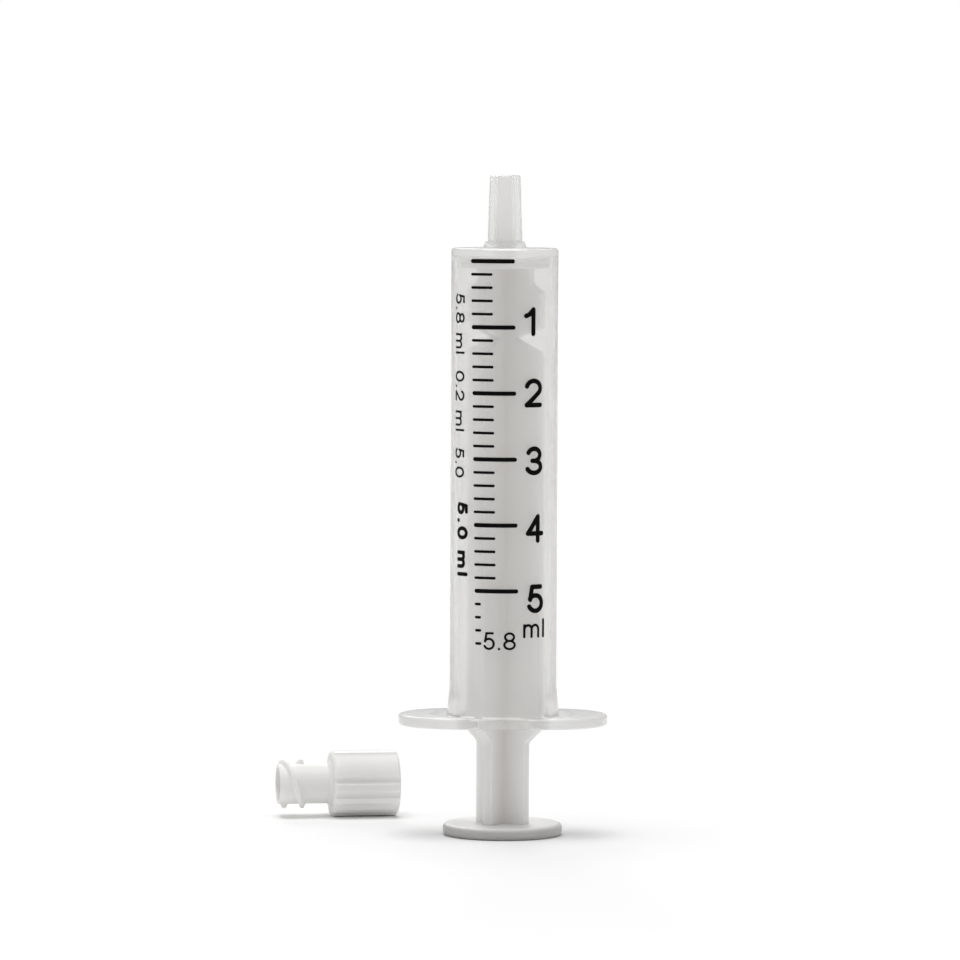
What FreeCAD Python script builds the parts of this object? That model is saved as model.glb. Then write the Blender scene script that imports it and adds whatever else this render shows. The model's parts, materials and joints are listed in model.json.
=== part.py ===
import FreeCAD, Part
import Sketcher
import math
import os
import re

# A 5 ml two-part oral syringe standing on its thumb plate, pushed right in, with its cap taken off.
# The origin is the middle of the thumb plate's underside. +Z runs up the syringe to the nozzle's
# tip, and the finger flange is long along X. All sizes are in millimetres, degrees or millilitres.
SIZES = {
    # Plunger
    "plunger_length": 75.5,
    "plate_radius": 7.8,
    "plate_thickness": 1.55,
    "plate_rounding": 0.5,
    "fin_thickness": 1.3,
    "fin_angle": -33.0,
    "valley_rounding": 0.4,
    "stem_reach": 3.7,
    "stem_length": 10.65,
    "shoulder_height": 1.65,
    "shoulder_rounding": 0.9,
    "notch_reach": 1.75,
    "notch_drop": 9.25,
    "notch_lower": 1.75,
    "notch_upper": 1.4,
    "guide_drop": 3.15,
    "guide_rounding": 0.6,
    "neck_reach": 4.1,
    "neck_length": 2.05,
    "head_thickness": 1.4,
    "lip_width": 0.45,
    "lip_height": 0.25,
    # Barrel
    "bore_radius": 6.105,
    "bore_depth": 61.1,
    "barrel_wall": 0.87,
    "end_wall": 1.15,
    "end_rounding": 0.4,
    "flare_radius": 7.3,
    "flare_height": 3.7,
    "flange_length": 27.35,
    "flange_width": 15.2,
    "flange_thickness": 1.4,
    "flange_bevel": 0.4,
    "flange_root": 0.2,
    "mouth_lead": 0.35,
    "bead_drop": 2.2,
    "bead_length": 2.2,
    "bead_height": 0.16,
    "nozzle_length": 8.6,
    "nozzle_channel": 1.0,
    "root_radius": 2.86,
    "root_crown": 2.55,
    "root_height": 0.85,
    # Tapered tip shared by the nozzle and the cap
    "tip_radius": 1.99,
    "tip_taper": 0.03,
    "tip_rounding": 0.35,
    # Running fits between plunger and barrel
    "seal_gap": 0.03,
    "guide_gap": 0.5,
    "end_gap": 0.05,
    # Printed scale
    "ink_thickness": 0.04,
    "nominal_volume": 5.0,
    "total_volume": 5.8,
    "division_volume": 0.2,
    "zero_drop": 0.39,
    "scale_left": -4.4,
    "scale_skew": 0.86,
    "long_mark": 5.65,
    "long_line": 0.55,
    "short_mark": 2.75,
    "short_line": 0.35,
    "extra_mark": 0.8,
    # Cap
    "cap_length": 16.05,
    "collar_radius": 4.42,
    "collar_length": 8.95,
    "collar_bevel": 0.3,
    "lock_radius": 3.75,
    "web_thickness": 1.05,
    "cone_recess": 0.9,
    "tube_radius": 2.66,
    "tube_root": 0.5,
    "socket_radius": 2.2,
    "socket_depth": 7.5,
    "thread_lead": 5.0,
    "lug_height": 0.58,
    "lug_crest": 0.4,
    "lug_foot": 1.0,
    "lug_rise": 2.65,
    "lug_setback": 0.05,
    "lock_thread_height": 0.35,
    "lock_thread_rise": 5.2,
    "scallop_radius": 0.7,
    "scallop_depth": 0.3,
    "scallop_pitch": 25.0,
    "scallop_count": 6,
    "cap_left": 22.1,
    "cap_behind": 19.7,
    "cap_yaw": 10.0,
}

# Levels along the axis, worked out from the sizes
FIN_FOOT = "plate_thickness / 2"
STEM_END = "(plate_thickness + stem_length)"
SHOULDER_TOP = f"({STEM_END} + shoulder_height)"
HEAD_BASE = "(plunger_length - head_thickness)"
HEAD_MIDDLE = "(plunger_length - head_thickness / 2)"
NOTCH_MIDDLE = f"({HEAD_BASE} - notch_drop)"
END_FACE = "(plunger_length + end_gap)"
END_TOP = f"({END_FACE} + end_wall)"
NOZZLE_BASE = f"({END_TOP} + root_height)"
NOZZLE_TOP = f"({NOZZLE_BASE} + nozzle_length)"
FLANGE_BASE = f"({END_FACE} - bore_depth)"
FLANGE_TOP = f"({FLANGE_BASE} + flange_thickness)"
BEAD_BASE = f"({FLANGE_BASE} + bead_drop)"
BEAD_TOP = f"({BEAD_BASE} + bead_length)"
ZERO_LINE = "(plunger_length - zero_drop)"

# Radii worked out from the sizes
FIN_REACH = "(bore_radius - guide_gap)"
SEAL_RADIUS = "(bore_radius - seal_gap)"
BARREL_RADIUS = "(bore_radius + barrel_wall)"
NOZZLE_FOOT = "(tip_radius + tip_taper * nozzle_length)"
SCALLOP_CENTRE = "(collar_radius + scallop_radius - scallop_depth)"

# How far a cut runs past the face where it starts or ends
CUT_MARGIN = 1.0
# How far a thread's foot is sunk into the wall that carries it
FOOT_SINK = 0.1
# Edges and places closer than this are taken as the same
TOLERANCE = 1e-4
# How far the middle of a quarter round stands in from its corner, as a share of its radius
CORNER_SHARE = round(1 - math.sqrt(0.5), 2)

doc = FreeCAD.newDocument("syringe")
sheet = doc.addObject("Spreadsheet::Sheet", "Sizes")
for row, (alias, size) in enumerate(SIZES.items(), start=1):
    sheet.set(f"A{row}", str(size))
    sheet.setAlias(f"A{row}", alias)
doc.recompute()


def cells(formula):
    """The formula with each size written as a cell of the sheet."""
    def in_sheet(word):
        return "Sizes." + word.group() if word.group() in SIZES else word.group()
    return re.sub(r"[a-z]+(_[a-z]+)+", in_sheet, str(formula))


def worth(formula):
    """The number that a formula of sizes comes to."""
    return float(sheet.evalExpression(cells(formula)))


def origin_plane(body, role):
    return next(plane for plane in body.Origin.OriginFeatures if plane.Role == role)


def new_sketch(body, name, role):
    sketch = body.newObject("Sketcher::SketchObject", name)
    sketch.AttachmentSupport = (origin_plane(body, role), [""])
    sketch.MapMode = "FlatFace"
    return sketch


def dimension(sketch, kind, arguments, label, formula):
    """Adds a dimension to the sketch and binds it to a formula of sizes."""
    index = sketch.addConstraint(Sketcher.Constraint(kind, *arguments, worth(formula)))
    sketch.renameConstraint(index, label)
    sketch.setExpression(f"Constraints.{label}", cells(formula))


def outline(body, name, role, corners):
    """A closed sketch of straight runs. A corner is across, up and, where it is round, its radius."""
    sketch = new_sketch(body, name, role)
    spots = [FreeCAD.Vector(worth(corner[0]), worth(corner[1]), 0) for corner in corners]
    count = len(spots)
    for i, spot in enumerate(spots):
        sketch.addGeometry(Part.LineSegment(spot, spots[(i + 1) % count]), False)
    for i in range(count):
        sketch.addConstraint(Sketcher.Constraint("Coincident", i, 2, (i + 1) % count, 1))
    for i, corner in enumerate(corners):
        for kind, axis, formula in (("DistanceX", -2, corner[0]), ("DistanceY", -1, corner[1])):
            if formula == "0":
                sketch.addConstraint(Sketcher.Constraint("PointOnObject", i, 1, axis))
            else:
                dimension(sketch, kind, (-1, 1, i, 1), f"{kind}_{i}", formula)
    for i, corner in enumerate(corners):
        if len(corner) == 3:
            arc = sketch.GeometryCount
            sketch.fillet(i, 1, worth(corner[2]), True, True)
            dimension(sketch, "Radius", (arc,), f"Radius_{i}", corner[2])
    return sketch


def revolve(body, kind, name, corners):
    """Turns an outline once round Z, to add it or, as a Groove, to cut it."""
    sketch = outline(body, name + "_outline", "XZ_Plane", corners)
    feature = body.newObject(f"PartDesign::{kind}", name)
    feature.Profile = sketch
    feature.ReferenceAxis = (sketch, ["V_Axis"])
    feature.Angle = 360
    doc.recompute()
    return feature


def outer_corner(across, up, radius, faces_up):
    """Three corners of a lathe outline that stand for a rounded outer one, at an upper or lower rim."""
    inward = -1 if faces_up else 1
    steps = [(0, 1), (CORNER_SHARE, CORNER_SHARE), (1, 0)]
    corners = [(f"{across} - {back} * {radius}", f"{up} + {inward * rise} * {radius}") for back, rise in steps]
    return corners if faces_up else corners[::-1]


def dress_edges(body, kind, name, size, wanted):
    """Puts a Fillet or a Chamfer on the edges of the body's last feature that pass the test."""
    last = body.Tip
    edges = [f"Edge{i}" for i, edge in enumerate(last.Shape.Edges, start=1) if wanted(edge)]
    if not edges:
        raise RuntimeError(f"{name} finds no edge")
    dress = body.newObject(f"PartDesign::{kind}", name)
    dress.Base = (last, edges)
    dress.setExpression("Radius" if kind == "Fillet" else "Size", cells(size))
    doc.recompute()


def helix(body, name, corners, rise):
    """A two-start screw ridge: its section swept up round Z, and repeated half a turn on."""
    sketch = outline(body, name + "_section", "XZ_Plane", corners)
    ridge = body.newObject("PartDesign::AdditiveHelix", name)
    ridge.Profile = sketch
    ridge.ReferenceAxis = (sketch, ["V_Axis"])
    ridge.Mode = "pitch-height-angle"
    ridge.setExpression("Pitch", cells("thread_lead"))
    ridge.setExpression("Height", cells(rise))
    doc.recompute()
    second = body.newObject("PartDesign::PolarPattern", name + "_starts")
    second.Originals = [ridge]
    second.Axis = (sketch, ["V_Axis"])
    second.Angle = 360
    second.Occurrences = 2
    body.Tip = second
    doc.recompute()


def make_plunger():
    """One moulding: thumb plate, four fins in a cross, and a thin sealing head."""
    body = doc.addObject("PartDesign::Body", "plunger")
    fin_outline = outline(body, "fin_outline", "XZ_Plane", [
        ("0", FIN_FOOT),
        ("stem_reach", FIN_FOOT),
        ("stem_reach", STEM_END, "shoulder_rounding"),
        (FIN_REACH, SHOULDER_TOP, "guide_rounding / 2"),
        (FIN_REACH, f"{NOTCH_MIDDLE} - notch_lower", "guide_rounding"),
        ("notch_reach", NOTCH_MIDDLE),
        (FIN_REACH, f"{NOTCH_MIDDLE} + notch_upper", "guide_rounding"),
        (FIN_REACH, f"{HEAD_BASE} - guide_drop", "guide_rounding"),
        ("neck_reach", f"{HEAD_BASE} - neck_length"),
        ("neck_reach", HEAD_MIDDLE),
        ("0", HEAD_MIDDLE),
    ])
    fin = body.newObject("PartDesign::Pad", "fin")
    fin.Profile = fin_outline
    fin.SideType = "Symmetric"
    fin.setExpression("Length", cells("fin_thickness"))
    doc.recompute()
    cross = body.newObject("PartDesign::PolarPattern", "cross")
    cross.Originals = [fin]
    cross.Axis = (fin_outline, ["V_Axis"])
    cross.Angle = 360
    cross.Occurrences = 4
    body.Tip = cross
    doc.recompute()
    revolve(body, "Revolution", "thumb_plate", [
        ("0", "0"),
        *outer_corner("plate_radius", "0", "plate_rounding", faces_up=False),
        *outer_corner("plate_radius", "plate_thickness", "plate_rounding", faces_up=True),
        ("0", "plate_thickness"),
    ])
    # The head seals with two thin lips and a waist between them
    revolve(body, "Revolution", "head", [
        ("0", HEAD_BASE),
        (SEAL_RADIUS, HEAD_BASE),
        (SEAL_RADIUS, f"{HEAD_BASE} + lip_width"),
        (f"{SEAL_RADIUS} - lip_height", HEAD_MIDDLE),
        (SEAL_RADIUS, "plunger_length - lip_width"),
        (SEAL_RADIUS, "plunger_length"),
        ("0", "plunger_length"),
    ])
    valley = worth("fin_thickness") / math.sqrt(2)

    def between_fins(edge):
        ends = [math.hypot(vertex.X, vertex.Y) for vertex in edge.Vertexes]
        upright = isinstance(edge.Curve, Part.Line) and edge.Length > worth("neck_length")
        return upright and all(abs(end - valley) < TOLERANCE for end in ends)

    dress_edges(body, "Fillet", "valleys", "valley_rounding", between_fins)
    turn = "create(<<rotation>>; create(<<vector>>; 0; 0; 1); fin_angle)"
    body.setExpression("Placement", cells(f"create(<<placement>>; create(<<vector>>; 0; 0; 0); {turn})"))
    return body


def make_barrel():
    """One clear moulding: tube, end wall, tapered nozzle and a finger flange with round ends."""
    body = doc.addObject("PartDesign::Body", "barrel")
    slot = new_sketch(body, "flange_slot", "XY_Plane")
    slot.setExpression("AttachmentOffset.Base.z", cells(FLANGE_BASE))
    end_radius = worth("flange_width / 2")
    end_centre = FreeCAD.Vector(worth("(flange_length - flange_width) / 2"), 0, 0)
    side = FreeCAD.Vector(0, end_radius, 0)
    axis = FreeCAD.Vector(0, 0, 1)
    slot.addGeometry([
        Part.LineSegment(side - end_centre, side + end_centre),
        Part.ArcOfCircle(Part.Circle(end_centre, axis, end_radius), -math.pi / 2, math.pi / 2),
        Part.LineSegment(end_centre - side, -end_centre - side),
        Part.ArcOfCircle(Part.Circle(-end_centre, axis, end_radius), math.pi / 2, 3 * math.pi / 2),
    ], False)
    for before, end, after, start in ((0, 2, 1, 2), (1, 1, 2, 1), (2, 2, 3, 2), (3, 1, 0, 1)):
        slot.addConstraint(Sketcher.Constraint("Tangent", before, end, after, start))
    slot.addConstraint(Sketcher.Constraint("PointOnObject", 1, 3, -1))
    slot.addConstraint(Sketcher.Constraint("Symmetric", 1, 3, 3, 3, -1, 1))
    dimension(slot, "Radius", (1,), "end_round", "flange_width / 2")
    dimension(slot, "DistanceX", (3, 3, 1, 3), "between_ends", "flange_length - flange_width")
    flange = body.newObject("PartDesign::Pad", "flange")
    flange.Profile = slot
    flange.setExpression("Length", cells("flange_thickness"))
    doc.recompute()

    def flange_rim(edge):
        return edge.BoundBox.ZLength < TOLERANCE

    dress_edges(body, "Chamfer", "rim_bevel", "flange_bevel", flange_rim)
    revolve(body, "Revolution", "tube_and_nozzle", [
        ("0", FLANGE_BASE),
        ("flare_radius", FLANGE_BASE),
        ("flare_radius + flange_root", FLANGE_TOP),
        ("flare_radius", f"{FLANGE_TOP} + flange_root"),
        (BARREL_RADIUS, f"{FLANGE_TOP} + flare_height"),
        *outer_corner(BARREL_RADIUS, END_TOP, "end_rounding", faces_up=True),
        ("root_radius", END_TOP),
        ("root_crown", NOZZLE_BASE),
        (NOZZLE_FOOT, NOZZLE_BASE),
        *outer_corner("tip_radius", NOZZLE_TOP, "tip_rounding", faces_up=True),
        ("0", NOZZLE_TOP),
    ])
    # The bead near the mouth keeps the head from being pulled out by accident
    revolve(body, "Groove", "bore_and_channel", [
        ("0", f"{FLANGE_BASE} - {CUT_MARGIN}"),
        ("bore_radius + mouth_lead", f"{FLANGE_BASE} - {CUT_MARGIN}"),
        ("bore_radius + mouth_lead", FLANGE_BASE),
        ("bore_radius", f"{FLANGE_BASE} + 2 * mouth_lead"),
        ("bore_radius", BEAD_BASE),
        ("bore_radius - bead_height", f"{BEAD_BASE} + bead_length / 4"),
        ("bore_radius - bead_height", f"{BEAD_TOP} - bead_length / 4"),
        ("bore_radius", BEAD_TOP),
        ("bore_radius", END_FACE),
        ("nozzle_channel", END_FACE),
        ("nozzle_channel", f"{NOZZLE_TOP} + {CUT_MARGIN}"),
        ("0", f"{NOZZLE_TOP} + {CUT_MARGIN}"),
    ])
    return body


def mark_prism(left, level, length, line):
    """A bar with bevelled corners, long enough towards -Y to cross the front of the barrel."""
    bevel = CORNER_SHARE * line
    half = line / 2
    right = left + length
    corners = [
        (left + bevel, level - half),
        (right - bevel, level - half),
        (right, level - half + bevel),
        (right, level + half - bevel),
        (right - bevel, level + half),
        (left + bevel, level + half),
        (left, level + half - bevel),
        (left, level - half + bevel),
    ]
    spots = [FreeCAD.Vector(across, 0, up) for across, up in corners]
    depth = FreeCAD.Vector(0, -worth(BARREL_RADIUS) - CUT_MARGIN, 0)
    return Part.Face(Part.makePolygon(spots + spots[:1])).extrude(depth)


def make_graduation_scale():
    """The printed marks: a skin of ink on the barrel, one mark for each division."""
    barrel_radius = worth(BARREL_RADIUS)
    base = FreeCAD.Vector(0, 0, worth(FLANGE_TOP))
    height = worth(END_TOP) - base.z
    sleeve = Part.makeCylinder(barrel_radius + worth("ink_thickness"), height, base)
    sleeve = sleeve.cut(Part.makeCylinder(barrel_radius, height, base))
    divisions = round(worth("total_volume / division_volume"))
    nominal = round(worth("nominal_volume / division_volume"))
    per_millilitre = round(worth("1 / division_volume"))
    step = 1000 * worth("division_volume") / (math.pi * worth("bore_radius") ** 2)
    slope = math.tan(math.radians(worth("scale_skew")))
    marks = []
    for division in range(divisions + 1):
        drop = division * step
        left = worth("scale_left") + drop * slope
        if division > nominal:
            length, line = worth("extra_mark"), worth("short_line")
        elif division % per_millilitre == 0:
            length, line = worth("long_mark"), worth("long_line")
        else:
            length, line = worth("short_mark"), worth("short_line")
        prism = mark_prism(left, worth(ZERO_LINE) - drop, length, line)
        marks.extend(sleeve.common(prism).Solids)
    scale = doc.addObject("Part::Feature", "graduation_scale")
    scale.Shape = Part.makeCompound(marks)
    return scale


def make_cap():
    """One moulding: a ribbed locking collar round a closed cone, and a threaded socket behind it."""
    body = doc.addObject("PartDesign::Body", "cap")
    web = "(collar_length - web_thickness)"
    socket_floor = "(cap_length - socket_depth)"
    revolve(body, "Revolution", "cap_section", [
        ("0", "cone_recess"),
        *outer_corner("tip_radius", "cone_recess", "tip_rounding", faces_up=False),
        (f"tip_radius + tip_taper * ({web} - cone_recess)", web),
        ("lock_radius", web),
        ("lock_radius", "0"),
        ("collar_radius - collar_bevel", "0"),
        ("collar_radius", "collar_bevel"),
        ("collar_radius", "collar_length - collar_bevel"),
        ("collar_radius - collar_bevel", "collar_length"),
        ("tube_radius + tube_root", "collar_length"),
        ("tube_radius", "collar_length + tube_root"),
        ("tube_radius", "cap_length"),
        ("socket_radius", "cap_length"),
        ("socket_radius - tip_taper * socket_depth", socket_floor),
        ("0", socket_floor),
    ])
    lug_base = "(cap_length - lug_setback - lug_foot - lug_rise)"
    lug_slope = "(lug_foot - lug_crest) / 2"
    helix(body, "lug", [
        (f"tube_radius - {FOOT_SINK}", lug_base),
        ("tube_radius + lug_height", f"{lug_base} + {lug_slope}"),
        ("tube_radius + lug_height", f"{lug_base} + lug_foot - {lug_slope}"),
        (f"tube_radius - {FOOT_SINK}", f"{lug_base} + lug_foot"),
    ], "lug_rise")
    thread_base = "collar_bevel"
    helix(body, "lock_thread", [
        (f"lock_radius + {FOOT_SINK}", thread_base),
        (f"lock_radius + {FOOT_SINK}", f"{thread_base} + lug_foot"),
        ("lock_radius - lock_thread_height", f"{thread_base} + lug_foot - {lug_slope}"),
        ("lock_radius - lock_thread_height", f"{thread_base} + {lug_slope}"),
    ], "lock_thread_rise")
    # Scallops between the finger ribs, in two groups with a smooth panel between them
    ring = new_sketch(body, "scallop_outline", "XY_Plane")
    centre = FreeCAD.Vector(0, worth(SCALLOP_CENTRE), 0)
    ring.addGeometry(Part.Circle(centre, FreeCAD.Vector(0, 0, 1), worth("scallop_radius")), False)
    ring.addConstraint(Sketcher.Constraint("PointOnObject", 0, 3, -2))
    dimension(ring, "DistanceY", (-1, 1, 0, 3), "centre_height", SCALLOP_CENTRE)
    dimension(ring, "Radius", (0,), "scallop_size", "scallop_radius")
    scallop = body.newObject("PartDesign::Pocket", "scallop")
    scallop.Profile = ring
    scallop.Reversed = True
    scallop.setExpression("Length", cells("collar_length"))
    doc.recompute()
    scallops = body.newObject("PartDesign::MultiTransform", "scallops")
    scallops.Originals = [scallop]
    group = body.newObject("PartDesign::PolarPattern", "scallop_group")
    group.Axis = (ring, ["N_Axis"])
    group.Reversed = True
    group.setExpression("Angle", cells("scallop_pitch * (scallop_count - 1)"))
    group.setExpression("Occurrences", cells("scallop_count"))
    sides = body.newObject("PartDesign::PolarPattern", "scallop_sides")
    sides.Axis = (ring, ["N_Axis"])
    sides.Angle = 360
    sides.Occurrences = 2
    scallops.Transformations = [group, sides]
    body.Tip = scallops
    doc.recompute()
    # The cap lies on two ribs of its collar, with its socket to the left and a little to the front.
    # Its fifth scallop is the one between them, so the first stands a little above the middle.
    reach = "cap_length / 2"
    height = f"(collar_radius ^ 2 + {SCALLOP_CENTRE} ^ 2 - scallop_radius ^ 2) / (2 * {SCALLOP_CENTRE})"
    place = (f"create(<<vector>>; -cap_left + {reach} * cos(cap_yaw * 1 deg);"
             f" cap_behind + {reach} * sin(cap_yaw * 1 deg); {height})")
    laid_down = "create(<<rotation>>; create(<<vector>>; 1; 0; -1); 180)"
    turned = "create(<<rotation>>; create(<<vector>>; 0; 0; 1); cap_yaw)"
    rolled = "create(<<rotation>>; create(<<vector>>; 0; 0; 1); 4 * scallop_pitch - 90)"
    body.setExpression("Placement", cells(f"create(<<placement>>; {place}; {turned} * {laid_down} * {rolled})"))
    return body


parts = [make_plunger(), make_barrel(), make_graduation_scale(), make_cap()]
doc.recompute()

for thing in doc.Objects:
    if {"Invalid", "Error"} & set(thing.State):
        raise RuntimeError(f"{thing.Label} failed: {thing.State}")
for part in parts:
    if part.Shape.isNull() or not part.Shape.isValid():
        raise RuntimeError(f"{part.Label} has no valid shape")

os.makedirs("parts", exist_ok=True)
for part in parts:
    part.Shape.exportStep(f"parts/{part.Label}.step")
    box = part.Shape.BoundBox
    print(f"{part.Label}: {len(part.Shape.Solids)} solids, {part.Shape.Volume:.1f} mm3, "
          f"x {box.XMin:.2f} to {box.XMax:.2f}, y {box.YMin:.2f} to {box.YMax:.2f}, "
          f"z {box.ZMin:.2f} to {box.ZMax:.2f}")
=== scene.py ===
import json
import math
import bpy
from mathutils import Matrix, Vector


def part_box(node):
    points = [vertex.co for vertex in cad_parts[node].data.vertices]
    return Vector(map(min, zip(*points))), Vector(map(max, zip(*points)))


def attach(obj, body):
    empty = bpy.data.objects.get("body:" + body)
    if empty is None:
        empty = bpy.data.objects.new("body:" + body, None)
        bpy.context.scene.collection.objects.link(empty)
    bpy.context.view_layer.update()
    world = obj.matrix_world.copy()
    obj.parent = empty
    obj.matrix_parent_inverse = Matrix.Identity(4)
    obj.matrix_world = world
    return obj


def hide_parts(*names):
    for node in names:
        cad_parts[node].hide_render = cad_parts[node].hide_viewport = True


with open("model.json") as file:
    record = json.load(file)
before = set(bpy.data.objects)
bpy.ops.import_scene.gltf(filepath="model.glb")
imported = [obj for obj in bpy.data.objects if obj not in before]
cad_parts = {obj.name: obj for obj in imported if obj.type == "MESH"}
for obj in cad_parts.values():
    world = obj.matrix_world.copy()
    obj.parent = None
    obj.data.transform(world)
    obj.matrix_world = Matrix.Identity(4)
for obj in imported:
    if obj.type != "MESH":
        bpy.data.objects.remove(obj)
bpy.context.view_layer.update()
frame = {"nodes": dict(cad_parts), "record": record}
record = frame["record"]
nodes = frame["nodes"]

MM = 0.001

# Levels and reaches read from the frame, in millimetres
BARREL_LOW, BARREL_HIGH = (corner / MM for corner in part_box("barrel"))
PLUNGER_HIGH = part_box("plunger")[1] / MM
SCALE_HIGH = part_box("graduation_scale")[1] / MM
MOUNTS = {mount["name"]: mount for mount in record["mounts"]}
TUBE_RADIUS = MOUNTS["barrel_outside"]["dims"]["r_mm"]
TUBE_MIDDLE = MOUNTS["barrel_outside"]["pos_m"][2] / MM
TUBE_LENGTH = MOUNTS["barrel_outside"]["dims"]["length_mm"]

# The barrel's other sizes, in millimetres
WALL = 0.87
BORE_RADIUS = TUBE_RADIUS - WALL
END_ROUNDING = 0.4
FLANGE_THICKNESS = 1.4
FLANGE_ROUNDING = 0.4
FLANGE_ROOT = 0.2
FLARE_RADIUS = 7.3
FLARE_MARGIN = 0.01
FLARE_FOOT = FLARE_RADIUS + FLANGE_ROOT + FLARE_MARGIN
MOUTH_LEAD = 0.15
BEAD_DROP = 2.2
BEAD_LENGTH = 2.2
BEAD_HEIGHT = 0.08
END_GAP = 0.05
CHANNEL_RADIUS = 1.0
TIP_RADIUS = 1.99
TIP_TAPER = 0.03
TIP_ROUNDING = 0.35
NOZZLE_LENGTH = 8.6
ROOT_RADIUS = 2.86
ROOT_CROWN = 2.55
ROOT_HEIGHT = 0.85
BARREL_STEPS = 192
RING_ANGLES = [2 * math.pi * step / BARREL_STEPS for step in range(BARREL_STEPS)]
ROUNDING_STEPS = 6
SMOOTH_ANGLE = 35

# The barrel's levels: the nozzle's foot, and the end wall's outer and inner faces
NOZZLE_FOOT = BARREL_HIGH.z - NOZZLE_LENGTH
END_TOP = NOZZLE_FOOT - ROOT_HEIGHT
END_FACE = PLUNGER_HIGH.z + END_GAP

# The share of light that each face of the barrel lets straight through, from its mouth to its tip
TUBE_CLARITY = 0.88
END_CLARITY = 0.45
NOZZLE_CLARITY = 0.74
CLARITY_FADE = 0.05
# The flange turns milky between these two reaches from the axis
MILKY_FROM = 7.8
MILKY_TO = 9.8
MILKY_LOSS = 0.65
# The share of the lamps' light that a face passes, where the plastic is clear and where it is milky
CLEAR_SHADE = 0.98
MILKY_SHADE = 0.35

# The thumb plate's rim: painted shade, a darker colour below a level that stands in for the lesser
# light on its front
PLATE_THICKNESS = 1.55
PAINTED_SHADE_FADE = 0.4
PAINTED_RIM_SHADE = 0.62

# The colours that each finish drifts between
PLUNGER_TINTS = ((0.68, 0.67, 0.655), (0.71, 0.7, 0.685))
CAP_TINTS = ((0.87, 0.86, 0.84), (0.89, 0.88, 0.86))
INK_TINTS = ((0.001, 0.001, 0.001), (0.003, 0.003, 0.003))
CLEAR_TINT = (0.92, 0.915, 0.905, 1)

# The middle part of a noise value's range, over which a finish is spread
NOISE_LOW = 0.3
NOISE_HIGH = 0.7

# The sockets of a Mix node that mixes colours
MIX_A = 6
MIX_B = 7
MIX_RESULT = 2

# The printed scale, with its levels found from the bore's own volume
INK_THICKNESS = 0.04
INK_SINK = 0.01
INK_TOP = TUBE_RADIUS + INK_THICKNESS
INK_FOOT = TUBE_RADIUS - INK_SINK
LONG_LINE = 0.55
ZERO_LEVEL = SCALE_HIGH.z - LONG_LINE / 2
MILLILITRE_LENGTH = 1000 / (math.pi * BORE_RADIUS ** 2)
SCALE_SKEW = math.radians(0.86)

# The figures beside the long marks, from 1 to 5: how far each stands over its mark, and their sizes
FIGURE_LIFTS = (0.75, 0.06, -0.19, -0.45, -1.03)
FIGURE_HEIGHT = 3.75
FIGURE_STROKE = 0.62
FIGURE_ACROSS = 3.52
ONE_ACROSS = 3.1
SPACE_SHARE = 0.45

# How finely strokes and their round ends are divided, with angles in degrees
STROKE_STEP = 0.25
ARC_STEP = 12
ROUND_END_STEPS = 5
ROUND_END_TURN = 88

# The camera, as the photograph's frame of 960 pixels a side gives it
IMAGE_SIZE = 960
PIXELS_PER_MM = 7.68
CAMERA_DISTANCE = 767.0
CAMERA_HEIGHT = 92.66
AIM_HEIGHT = 46.43
AIM_RIGHT = -3.12
CAMERA_ROLL = math.radians(0.25)
SENSOR = 36.0

# How near and how far the camera sees, and how far the floor reaches, in metres
CAMERA_NEAR = 0.05
CAMERA_FAR = 20.0
FLOOR_REACH = 4.0
FLOOR_SHADE = 0.92

# The lamps: the place each shines from, how many degrees wide it is, and its strength
OVERHEAD_LAMP = ((-30, 0, 800), 40, 1.6)
BEHIND_LAMP = ((-80, 700, 420), 25, 0.6)

# The world's strength where it is seen, and where it lights
WORLD_SEEN = 1.0
WORLD_LIGHT = 0.5


def shader(material, kind, **settings):
    """A new node of the material, with its inputs set by name."""
    node = material.node_tree.nodes.new(kind)
    for name, value in settings.items():
        node.inputs[name.replace("_", " ")].default_value = value
    return node


def new_material(name):
    """A new material and its output, its only node."""
    material = bpy.data.materials.new(name)
    material.use_nodes = True
    material.node_tree.nodes.clear()
    output = material.node_tree.nodes.new("ShaderNodeOutputMaterial")
    return material, output


def noise(material, scale, detail=3.0, stretch=(1, 1, 1)):
    """Noise in the object's own millimetres, scaled along each axis."""
    tree = material.node_tree
    place = tree.nodes.new("ShaderNodeTexCoord")
    mapping = tree.nodes.new("ShaderNodeMapping")
    mapping.inputs["Scale"].default_value = [share / MM for share in stretch]
    texture = tree.nodes.new("ShaderNodeTexNoise")
    texture.inputs["Scale"].default_value = scale
    texture.inputs["Detail"].default_value = detail
    tree.links.new(place.outputs["Object"], mapping.inputs["Vector"])
    tree.links.new(mapping.outputs["Vector"], texture.inputs["Vector"])
    return texture.outputs["Fac"]


def spread(material, source, low, high):
    """A noise value stretched from its middle part to run from low to high."""
    reach = material.node_tree.nodes.new("ShaderNodeMapRange")
    reach.inputs["From Min"].default_value = NOISE_LOW
    reach.inputs["From Max"].default_value = NOISE_HIGH
    reach.inputs["To Min"].default_value = low
    reach.inputs["To Max"].default_value = high
    material.node_tree.links.new(source, reach.inputs["Value"])
    return reach.outputs["Result"]


def tinted(material, source, low, high):
    """A colour that drifts between two by a noise value."""
    ramp = material.node_tree.nodes.new("ShaderNodeValToRGB")
    ramp.color_ramp.elements[0].position = NOISE_LOW
    ramp.color_ramp.elements[0].color = (*low, 1)
    ramp.color_ramp.elements[1].position = NOISE_HIGH
    ramp.color_ramp.elements[1].color = (*high, 1)
    material.node_tree.links.new(source, ramp.inputs["Fac"])
    return ramp.outputs["Color"]


def bumped(material, source, height, strength):
    """A bump of that height in millimetres."""
    bump = material.node_tree.nodes.new("ShaderNodeBump")
    bump.inputs["Strength"].default_value = strength
    bump.inputs["Distance"].default_value = height * MM
    material.node_tree.links.new(source, bump.inputs["Height"])
    return bump.outputs["Normal"]


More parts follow.
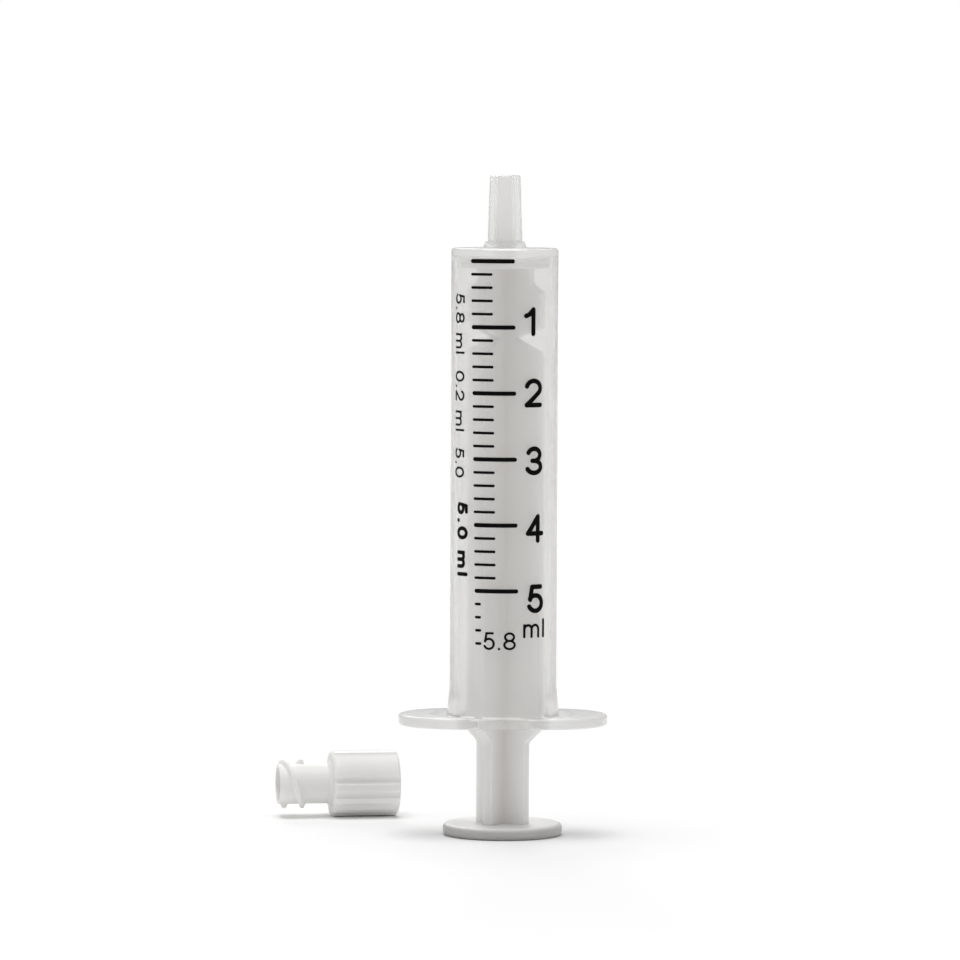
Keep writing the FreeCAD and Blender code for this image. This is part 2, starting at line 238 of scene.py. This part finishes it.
def milky_plastic(name, tints, roughness, subsurface, painted_shade_top=None):
    """Satin milky plastic with a faint flow grain, and painted shade on the rim below a level if one is
    given.
    """
    material, output = new_material(name)
    links = material.node_tree.links
    base = shader(material, "ShaderNodeBsdfPrincipled", IOR=1.5, Subsurface_Weight=subsurface,
                  Subsurface_Radius=(1.0, 0.97, 0.93), Subsurface_Scale=4.5 * MM)
    clouds = noise(material, scale=0.35, stretch=(1, 1, 0.3))
    grain = noise(material, scale=6.0, detail=4.0)
    tint = tinted(material, clouds, *tints)
    # Painted shade: the colour is darkened below the given level, standing in for the lesser light on
    # the plate's front rim.
    if painted_shade_top is not None:
        rim = material.node_tree.nodes.new("ShaderNodeMix")
        rim.data_type = "RGBA"
        rim.blend_type = "MULTIPLY"
        rim.inputs["Factor"].default_value = 1.0
        stops = [(0, PAINTED_RIM_SHADE), (painted_shade_top - PAINTED_SHADE_FADE, PAINTED_RIM_SHADE), (painted_shade_top, 1.0)]
        links.new(tint, rim.inputs[MIX_A])
        links.new(ramp_by_height(material, stops), rim.inputs[MIX_B])
        tint = rim.outputs[MIX_RESULT]
    satin = spread(material, grain, low=roughness - 0.05, high=roughness + 0.07)
    links.new(tint, base.inputs["Base Color"])
    links.new(satin, base.inputs["Roughness"])
    links.new(bumped(material, grain, height=0.02, strength=0.35), base.inputs["Normal"])
    links.new(base.outputs["BSDF"], output.inputs["Surface"])
    return material


def ramp_by_height(material, stops):
    """A value that follows height: each stop is a level in millimetres and the value there."""
    tree = material.node_tree
    place = tree.nodes.new("ShaderNodeTexCoord")
    split = tree.nodes.new("ShaderNodeSeparateXYZ")
    share = tree.nodes.new("ShaderNodeMapRange")
    ramp = tree.nodes.new("ShaderNodeValToRGB")
    low, high = stops[0][0], stops[-1][0]
    share.inputs["From Min"].default_value = low * MM
    share.inputs["From Max"].default_value = high * MM
    for _ in stops[2:]:
        ramp.color_ramp.elements.new(0.5)
    for element, (height, value) in zip(ramp.color_ramp.elements, stops):
        element.position = (height - low) / (high - low)
        element.color = (value, value, value, 1)
    tree.links.new(place.outputs["Object"], split.inputs["Vector"])
    tree.links.new(split.outputs["Z"], share.inputs["Value"])
    tree.links.new(share.outputs["Result"], ramp.inputs["Fac"])
    return ramp.outputs["Color"]


def lost_by_reach(material):
    """The clarity lost with distance from the upright axis."""
    tree = material.node_tree
    place = tree.nodes.new("ShaderNodeTexCoord")
    flat = tree.nodes.new("ShaderNodeVectorMath")
    flat.operation = "MULTIPLY"
    flat.inputs[1].default_value = (1, 1, 0)
    reach = tree.nodes.new("ShaderNodeVectorMath")
    reach.operation = "LENGTH"
    share = tree.nodes.new("ShaderNodeMapRange")
    share.inputs["From Min"].default_value = MILKY_FROM * MM
    share.inputs["From Max"].default_value = MILKY_TO * MM
    share.inputs["To Max"].default_value = MILKY_LOSS
    tree.links.new(place.outputs["Object"], flat.inputs[0])
    tree.links.new(flat.outputs["Vector"], reach.inputs[0])
    tree.links.new(reach.outputs["Value"], share.inputs["Value"])
    return share.outputs["Result"]


def clear_plastic(name):
    """Clear moulded plastic, hazy where it is thick. Lamps and diffuse light pass through it."""
    material, output = new_material(name)
    tree = material.node_tree
    wall = shader(material, "ShaderNodeBsdfPrincipled", IOR=1.49, Base_Color=CLEAR_TINT)
    by_height = ramp_by_height(material, [
        (BARREL_LOW.z, TUBE_CLARITY),
        (END_FACE, TUBE_CLARITY),
        (END_FACE + CLARITY_FADE, END_CLARITY),
        (END_TOP - CLARITY_FADE, END_CLARITY),
        (END_TOP, NOZZLE_CLARITY),
        (BARREL_HIGH.z, NOZZLE_CLARITY),
    ])
    clarity = tree.nodes.new("ShaderNodeMath")
    clarity.operation = "SUBTRACT"
    tree.links.new(by_height, clarity.inputs[0])
    tree.links.new(lost_by_reach(material), clarity.inputs[1])
    tree.links.new(clarity.outputs[0], wall.inputs["Transmission Weight"])
    flow = noise(material, scale=0.5, stretch=(1, 1, 0.15))
    tree.links.new(spread(material, flow, low=0.15, high=0.2), wall.inputs["Roughness"])
    tree.links.new(bumped(material, flow, height=0.01, strength=0.05), wall.inputs["Normal"])
    clear = shader(material, "ShaderNodeBsdfTransparent")
    shade = tree.nodes.new("ShaderNodeMapRange")
    shade.inputs["From Min"].default_value = TUBE_CLARITY - MILKY_LOSS
    shade.inputs["From Max"].default_value = NOZZLE_CLARITY
    shade.inputs["To Min"].default_value = MILKY_SHADE
    shade.inputs["To Max"].default_value = CLEAR_SHADE
    tree.links.new(clarity.outputs[0], shade.inputs["Value"])
    tree.links.new(shade.outputs["Result"], clear.inputs["Color"])
    path = tree.nodes.new("ShaderNodeLightPath")
    surface = wall.outputs["BSDF"]
    for ray in ("Is Shadow Ray", "Is Diffuse Ray"):
        mix = tree.nodes.new("ShaderNodeMixShader")
        tree.links.new(path.outputs[ray], mix.inputs["Fac"])
        tree.links.new(surface, mix.inputs[1])
        tree.links.new(clear.outputs["BSDF"], mix.inputs[2])
        surface = mix.outputs["Shader"]
    tree.links.new(surface, output.inputs["Surface"])
    return material


def printed_ink(name):
    """Black pad-printed ink, a little uneven in its gloss and depth."""
    material, output = new_material(name)
    links = material.node_tree.links
    base = shader(material, "ShaderNodeBsdfPrincipled", IOR=1.5, Specular_IOR_Level=0.05)
    speckle = noise(material, scale=4.0, detail=4.0)
    links.new(tinted(material, speckle, *INK_TINTS), base.inputs["Base Color"])
    links.new(spread(material, speckle, low=0.42, high=0.6), base.inputs["Roughness"])
    links.new(bumped(material, speckle, height=0.01, strength=0.3), base.inputs["Normal"])
    links.new(base.outputs["BSDF"], output.inputs["Surface"])
    return material


def dress(node, material):
    """Gives a CAD node its finish."""
    mesh = nodes[node].data
    mesh.materials.clear()
    mesh.materials.append(material)


def make_mesh(name, vertices, faces, material, smooth_angle=None):
    """A new piece from points in millimetres."""
    mesh = bpy.data.meshes.new(name)
    mesh.from_pydata([Vector(vertex) * MM for vertex in vertices], [], faces)
    mesh.validate()
    mesh.materials.append(material)
    if smooth_angle is not None:
        mesh.shade_smooth()
        mesh.set_sharp_from_angle(angle=math.radians(smooth_angle))
    piece = bpy.data.objects.new(name, mesh)
    bpy.context.scene.collection.objects.link(piece)
    return piece


def quarter(across, up, radius, start):
    """Points of a quarter round about a centre, clockwise from the start angle in degrees."""
    turns = [start - 90 * step / ROUNDING_STEPS for step in range(ROUNDING_STEPS + 1)]
    return [(across + radius * math.cos(math.radians(turn)), up + radius * math.sin(math.radians(turn)))
            for turn in turns]


def flange_ring(share, up):
    """Points round the flange's outline at a level, drawn in by a share of its rounding."""
    half_width = BARREL_HIGH.y
    end_centre = BARREL_HIGH.x - half_width
    points = []
    for angle in RING_ANGLES:
        along, across = abs(math.cos(angle)), abs(math.sin(angle))
        if half_width * along < end_centre * across:
            reach = half_width / across
        else:
            reach = end_centre * along + math.sqrt(half_width ** 2 - (end_centre * across) ** 2)
        reach -= share * min(FLANGE_ROUNDING, reach - FLARE_FOOT)
        points.append((reach * math.cos(angle), reach * math.sin(angle), up))
    return points


def make_barrel(material):
    """The barrel as one smooth closed shell of rings of points."""
    tip = BARREL_HIGH.z
    base = BARREL_LOW.z
    flange_top = base + FLANGE_THICKNESS
    flare_top = TUBE_MIDDLE - TUBE_LENGTH / 2
    rim = FLANGE_ROUNDING
    bead = base + BEAD_DROP

    def round_rings(points):
        return [[(radius * math.cos(angle), radius * math.sin(angle), up) for angle in RING_ANGLES]
                for radius, up in points]

    def rim_rings(points):
        return [flange_ring(1 - across / rim, up) for across, up in points]

    rings = round_rings([(CHANNEL_RADIUS, tip)])
    rings += round_rings(quarter(TIP_RADIUS - TIP_ROUNDING, tip - TIP_ROUNDING, TIP_ROUNDING, 90))
    rings += round_rings([
        (TIP_RADIUS + TIP_TAPER * NOZZLE_LENGTH, NOZZLE_FOOT),
        (ROOT_CROWN, NOZZLE_FOOT),
        (ROOT_RADIUS, END_TOP),
    ])
    rings += round_rings(quarter(TUBE_RADIUS - END_ROUNDING, END_TOP - END_ROUNDING, END_ROUNDING, 90))
    rings += round_rings([(TUBE_RADIUS, flare_top), (FLARE_RADIUS, flange_top + FLANGE_ROOT),
                          (FLARE_RADIUS + FLANGE_ROOT, flange_top)])
    rings += rim_rings(quarter(0, flange_top - rim, rim, 90))
    rings += rim_rings(quarter(0, base + rim, rim, 0))
    rings += round_rings([
        (BORE_RADIUS + MOUTH_LEAD, base),
        (BORE_RADIUS, base + 2 * MOUTH_LEAD),
        (BORE_RADIUS, bead),
        (BORE_RADIUS - BEAD_HEIGHT, bead + BEAD_LENGTH / 4),
        (BORE_RADIUS - BEAD_HEIGHT, bead + BEAD_LENGTH * 3 / 4),
        (BORE_RADIUS, bead + BEAD_LENGTH),
        (BORE_RADIUS, END_FACE),
        (CHANNEL_RADIUS, END_FACE),
    ])
    vertices = [point for ring in rings for point in ring]
    faces = []
    for ring in range(len(rings)):
        here = ring * BARREL_STEPS
        there = (ring + 1) % len(rings) * BARREL_STEPS
        for step in range(BARREL_STEPS):
            after = (step + 1) % BARREL_STEPS
            faces.append((here + step, there + step, there + after, here + after))
    barrel = make_mesh("clear_barrel", vertices, faces, material, smooth_angle=SMOOTH_ANGLE)
    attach(barrel, "barrel")
    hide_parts("barrel")


def arc(across, up, reach_across, reach_up, start, stop):
    """Points of an oval arc between two angles in degrees."""
    steps = max(2, round(abs(stop - start) / ARC_STEP))
    angles = [math.radians(start + (stop - start) * step / steps) for step in range(steps + 1)]
    return [(across + reach_across * math.cos(angle), up + reach_up * math.sin(angle))
            for angle in angles]


# Each figure is its width over its height, and its strokes in a box one wide and one high
FIGURES = {
    "0": (0.58, [arc(0.5, 0.5, 0.5, 0.5, 90, -270)]),
    "1": (0.28, [[(0.0, 0.74), (0.45, 0.8)], [(0.45, 0.8), (1.0, 1.0)], [(1.0, 1.0), (1.0, 0.0)]]),
    "2": (0.55, [arc(0.5, 0.7, 0.5, 0.3, 165, -35), [(0.91, 0.53), (0.0, 0.0)],
                 [(0.0, 0.0), (1.0, 0.0)]]),
    "3": (0.54, [arc(0.48, 0.75, 0.45, 0.25, 160, -90), arc(0.48, 0.25, 0.52, 0.25, 90, -160),
                [(0.35, 0.5), (0.5, 0.5)]]),
    "4": (0.58, [[(0.7, 1.0), (0.0, 0.3)], [(0.0, 0.3), (1.0, 0.3)], [(0.7, 1.0), (0.7, 0.0)]]),
    "5": (0.52, [[(0.9, 1.0), (0.2, 1.0)], [(0.2, 1.0), (0.06, 0.47)],
                 arc(0.47, 0.32, 0.53, 0.32, 145, -155)]),
    "8": (0.58, [arc(0.5, 0.76, 0.43, 0.24, -90, -450), arc(0.5, 0.26, 0.5, 0.26, 90, -270)]),
    ".": (0.02, [[(0.0, 0.0), (1.0, 0.0)]]),
    "m": (0.85, [[(0.0, 0.7), (0.0, 0.0)],
                 arc(0.25, 0.45, 0.25, 0.25, 180, 0), [(0.5, 0.45), (0.5, 0.0)],
                 arc(0.75, 0.45, 0.25, 0.25, 180, 0), [(1.0, 0.45), (1.0, 0.0)]]),
    "l": (0.02, [[(0.5, 1.0), (0.5, 0.0)]]),
}


def stroke_rows(points, width):
    """Rows across a stroke with round ends: each row is two points, one on each side."""
    path = [Vector(points[0])]
    for start, stop in zip(points, points[1:]):
        start, stop = Vector(start), Vector(stop)
        count = max(1, math.ceil((stop - start).length / STROKE_STEP))
        path += [start.lerp(stop, step / count) for step in range(1, count + 1)]
    half = width / 2
    rows = []
    for i, spot in enumerate(path):
        along = (path[min(i + 1, len(path) - 1)] - path[max(i - 1, 0)]).normalized()
        rows.append((spot, along, half))

    def round_end(spot, along, side):
        turns = [math.radians(ROUND_END_TURN * step / ROUND_END_STEPS)
                 for step in range(1, ROUND_END_STEPS + 1)]
        return [(spot + along * side * half * math.sin(turn), along, half * math.cos(turn))
                for turn in turns]

    first, first_along, _ = rows[0]
    last, last_along, _ = rows[-1]
    rows = round_end(first, first_along, -1)[::-1] + rows + round_end(last, last_along, 1)
    return [(spot + Vector((-along.y, along.x)) * reach, spot + Vector((along.y, -along.x)) * reach)
            for spot, along, reach in rows]


def wrapped(point, radius):
    """A flat point, measured round the tube from its front and up from the plate, on the tube."""
    turn = point.x / TUBE_RADIUS
    return (radius * math.sin(turn), -radius * math.cos(turn), point.y)


def print_strokes(name, strokes, width, material):
    """Strokes printed on the tube, each a thin closed skin of ink."""
    vertices = []
    faces = []
    for points in strokes:
        rows = stroke_rows(points, width)
        start = len(vertices)
        for left, right in rows:
            vertices += [wrapped(left, INK_TOP), wrapped(right, INK_TOP),
                         wrapped(right, INK_FOOT), wrapped(left, INK_FOOT)]
        for row in range(len(rows) - 1):
            low = start + 4 * row
            for side in range(4):
                after = (side + 1) % 4
                faces.append((low + side, low + after, low + 4 + after, low + 4 + side))
        faces.append(tuple(start + side for side in (3, 2, 1, 0)))
        faces.append(tuple(len(vertices) - 4 + side for side in range(4)))
    piece = make_mesh(name, vertices, faces, material)
    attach(piece, "barrel")


def lettering(text, height, width, gap):
    """Strokes of a line of figures, from its left foot, and the line's length."""
    strokes = []
    left = 0.0
    for letter in text:
        if letter == " ":
            left += SPACE_SHARE * height
            continue
        share, figure = FIGURES[letter]
        reach_across = share * height
        reach_up = height - width
        left += width / 2
        strokes += [[(left + u * reach_across, width / 2 + v * reach_up) for u, v in points]
                    for points in figure]
        left += reach_across + width / 2 + gap
    return strokes, left - gap


def print_line(name, text, across, middle, height, width, material, gap=0.3, quarter_turn=False):
    """A line of figures, upright or reading down, about a place across the tube and a level."""
    centre = round_tube(across)
    strokes, length = lettering(text, height, width, gap)

    def placed(point):
        right, up = point[0] - length / 2, point[1] - height / 2
        if quarter_turn:
            right, up = up, -right
        return (centre + right, middle + up)

    print_strokes(name, [[placed(point) for point in points] for points in strokes], width, material)


def level(volume):
    """The height of a volume's mark."""
    return ZERO_LEVEL - volume * MILLILITRE_LENGTH


def round_tube(across):
    """The distance round the tube's front that shows as that distance across from its axis."""
    return TUBE_RADIUS * math.asin(across / TUBE_RADIUS)


def print_scale(material):
    """The figures beside the marks, the unit, the full volume and the two lines down the left."""
    skew = math.tan(SCALE_SKEW)
    for figure, lift in enumerate(FIGURE_LIFTS, start=1):
        drop = ZERO_LEVEL - level(figure)
        across = ONE_ACROSS if figure == 1 else FIGURE_ACROSS
        print_line(f"figure_{figure}", str(figure), across + drop * skew, level(figure) + lift,
                   FIGURE_HEIGHT, FIGURE_STROKE, material)
    print_line("unit", "ml", across=4.02, middle=level(5.57), height=2.5, width=0.33,
               material=material, gap=0.52)
    print_line("full_volume", "5.8", across=-0.5, middle=level(5.757), height=2.33, width=0.3,
               material=material, gap=0.37)
    print_line("capacity", "5.8 ml  0.2 ml  5.0", across=-5.8, middle=58.9, height=2.0, width=0.28,
               material=material, gap=0.38, quarter_turn=True)
    print_line("nominal", "5.0 ml", across=-5.4, middle=39.0, height=2.1, width=0.5,
               material=material, gap=0.5, quarter_turn=True)


def seen_directly(tree):
    """One for what is seen, straight on or through the clear plastic, and nothing for the rest."""
    path = tree.nodes.new("ShaderNodeLightPath")
    either = tree.nodes.new("ShaderNodeMath")
    either.operation = "MAXIMUM"
    tree.links.new(path.outputs["Is Camera Ray"], either.inputs[0])
    tree.links.new(path.outputs["Is Transmission Ray"], either.inputs[1])
    return either.outputs[0]


def make_floor():
    """A plain pale floor, near white, that keeps the object's shadow."""
    mesh = bpy.data.meshes.new("floor")
    corners = [(x * FLOOR_REACH, y * FLOOR_REACH, 0) for x, y in ((-1, -1), (1, -1), (1, 1), (-1, 1))]
    mesh.from_pydata(corners, [], [(0, 1, 2, 3)])
    material, output = new_material("floor_paint")
    paint = shader(material, "ShaderNodeBsdfDiffuse", Color=(FLOOR_SHADE, FLOOR_SHADE, FLOOR_SHADE, 1))
    material.node_tree.links.new(paint.outputs[0], output.inputs["Surface"])
    mesh.materials.append(material)
    floor = bpy.data.objects.new("floor", mesh)
    bpy.context.scene.collection.objects.link(floor)


def make_world():
    """A white surround where it is seen directly or through the plastic, and a softer one for light."""
    world = bpy.data.worlds.new("studio")
    world.use_nodes = True
    bpy.context.scene.world = world
    tree = world.node_tree
    tree.nodes.clear()
    output = tree.nodes.new("ShaderNodeOutputWorld")
    seen = tree.nodes.new("ShaderNodeBackground")
    seen.inputs["Strength"].default_value = WORLD_SEEN
    light = tree.nodes.new("ShaderNodeBackground")
    light.inputs["Strength"].default_value = WORLD_LIGHT
    for background in (seen, light):
        background.inputs["Color"].default_value = (1, 1, 1, 1)
    mix = tree.nodes.new("ShaderNodeMixShader")
    tree.links.new(seen_directly(tree), mix.inputs["Fac"])
    tree.links.new(light.outputs[0], mix.inputs[1])
    tree.links.new(seen.outputs[0], mix.inputs[2])
    tree.links.new(mix.outputs[0], output.inputs["Surface"])


def aimed(thing, place, target, roll=0.0):
    """Puts a lamp or camera at a place and turns it to a target, both in millimetres."""
    away = (Vector(place) - Vector(target)).normalized()
    turn = away.to_track_quat("Z", "Y").to_matrix() @ Matrix.Rotation(roll, 3, "Z")
    thing.matrix_world = Matrix.Translation(Vector(place) * MM) @ turn.to_4x4()


def soft_light(name, place, width, strength):
    """Even light from the side of that place, from a round patch that many degrees across."""
    light = bpy.data.lights.new(name, "SUN")
    light.angle = math.radians(width)
    light.energy = strength
    lamp = bpy.data.objects.new(name, light)
    bpy.context.scene.collection.objects.link(lamp)
    aimed(lamp, place, (0, 0, 0))


def make_camera():
    """The camera, at the photograph's viewing angle."""
    camera = bpy.data.cameras.new("camera")
    camera.sensor_width = SENSOR
    camera.lens = SENSOR * CAMERA_DISTANCE * PIXELS_PER_MM / IMAGE_SIZE
    camera.clip_start = CAMERA_NEAR
    camera.clip_end = CAMERA_FAR
    holder = bpy.data.objects.new("camera", camera)
    bpy.context.scene.collection.objects.link(holder)
    place = (AIM_RIGHT, -CAMERA_DISTANCE, CAMERA_HEIGHT)
    aimed(holder, place, (AIM_RIGHT, 0, AIM_HEIGHT), CAMERA_ROLL)
    bpy.context.scene.camera = holder


make_world()
make_camera()
make_floor()
soft_light("overhead", *OVERHEAD_LAMP)
soft_light("behind", *BEHIND_LAMP)

dress("plunger", milky_plastic("plunger_milky", PLUNGER_TINTS, roughness=0.42, subsurface=1.0,
                               painted_shade_top=PLATE_THICKNESS))
dress("cap", milky_plastic("cap_white", CAP_TINTS, roughness=0.5, subsurface=0.2))
ink = printed_ink("scale_ink")
dress("graduation_scale", ink)
make_barrel(clear_plastic("barrel_clear"))
print_scale(ink)

bpy.context.scene.view_settings.view_transform = "Standard"
